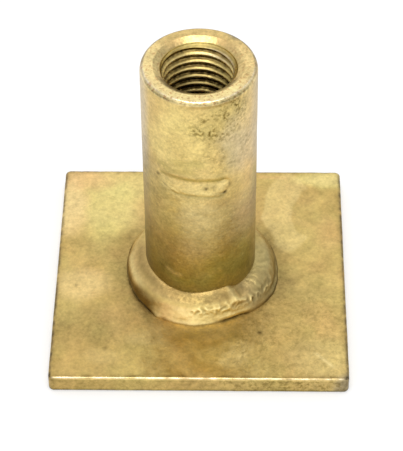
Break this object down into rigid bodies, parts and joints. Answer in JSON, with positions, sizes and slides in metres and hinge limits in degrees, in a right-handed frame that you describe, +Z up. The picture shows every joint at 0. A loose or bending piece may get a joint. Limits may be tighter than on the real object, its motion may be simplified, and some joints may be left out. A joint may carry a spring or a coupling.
{
  "type": "lifting socket insert",
  "caption": "Plated steel lifting socket: a tube with an internally threaded mouth, welded upright on a square anchor plate that holds it in concrete.",
  "frame": {"origin": "middle of the anchor plate's underside", "axes": "+Z up the socket's axis, out of its mouth; X and Y square to the plate's edges"},
  "size_m": [0.08, 0.08, 0.08],
  "materials": {
    "plate_plating": "yellow passivated zinc over mill-finish steel plate, satin, mottled",
    "tube_plating": "yellow passivated zinc over drawn steel tube, satin, lightly pitted",
    "weld_plating": "yellow passivated zinc over as-laid weld metal, satin"
  },
  "bodies": {
    "root": {"base_plate": "plate_plating", "socket_tube": "tube_plating", "weld_bead": "weld_plating"}
  },
  "joints": []
}
